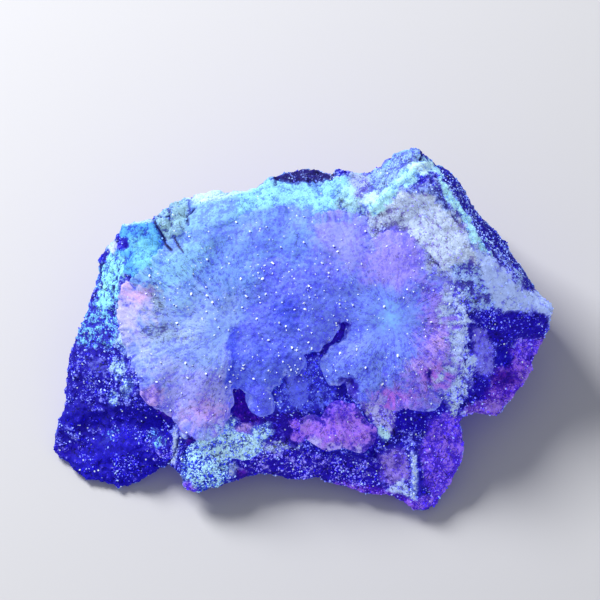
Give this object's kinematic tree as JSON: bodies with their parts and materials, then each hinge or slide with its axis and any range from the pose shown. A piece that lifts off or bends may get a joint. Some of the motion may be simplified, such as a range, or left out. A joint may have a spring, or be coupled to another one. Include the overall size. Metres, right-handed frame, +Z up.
{
  "type": "creedite crystal specimen on rock",
  "caption": "Hand-sized mineral specimen: radiating crystal sprays and a drusy plate grown on a broken block of dark host rock, lying on a flat underside.",
  "frame": {"origin": "on the flat underside, below the middle of the display face as the picture frames it", "axes": "+Z up from the surface it rests on; +X to the right of the display face; -Y towards the low front edge"},
  "size_m": [0.0814, 0.0572, 0.032],
  "materials": {
    "host_rock": "rough, granular, dark blue-violet rock with fine glittering grains and a pale cyan and cream rind of tiny crystals along the top",
    "creedite": "satin, finely radiating crystal, pale blue at the middle of each spray to violet and pink at the edges, with a glittering blue drusy plate between",
    "violet_creedite": "satin, radiating violet crystal with a paler lower edge",
    "drusy_creedite": "glittering cyan druse of tiny crystals"
  },
  "bodies": {
    "root": {"matrix": "host_rock", "creedite_crust": "creedite", "violet_spray": "violet_creedite", "lower_druse": "drusy_creedite"}
  },
  "joints": []
}
